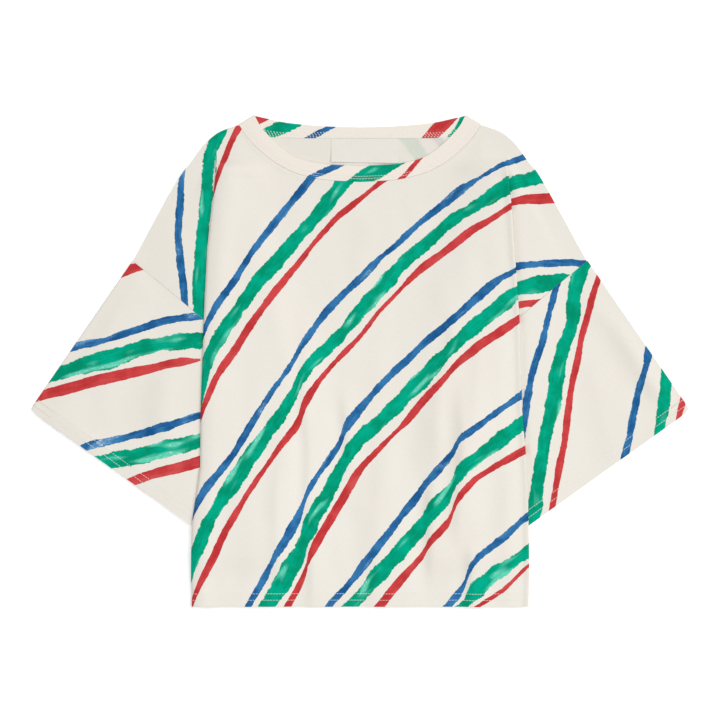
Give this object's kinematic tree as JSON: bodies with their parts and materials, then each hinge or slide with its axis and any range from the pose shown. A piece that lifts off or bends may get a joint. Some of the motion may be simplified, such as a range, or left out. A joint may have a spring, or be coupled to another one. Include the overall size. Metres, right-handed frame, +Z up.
{
  "type": "striped t-shirt",
  "caption": "Boxy drop-shoulder jersey t-shirt for a child, laid flat front up, with wide elbow sleeves, a round neckband and painted diagonal stripes.",
  "frame": {"origin": "middle of the outline, on the surface that the shirt lies on", "axes": "+X across the shirt to the right as seen, +Y from the hem to the neck, +Z up out of the front"},
  "size_m": [0.6598, 0.4911, 0.0087],
  "materials": {
    "printed_jersey": "matt cream cotton jersey with painted blue, green and red diagonal stripes",
    "band_jersey": "matt cream cotton jersey, doubled, with a little of the same print",
    "label_weave": "off-white woven label, slightly shiny"
  },
  "bodies": {
    "root": {"front_panel": "printed_jersey", "back_panel": "printed_jersey", "sleeve_left": "printed_jersey", "sleeve_right": "printed_jersey", "neckband": "band_jersey", "neck_label": "label_weave"}
  },
  "joints": []
}
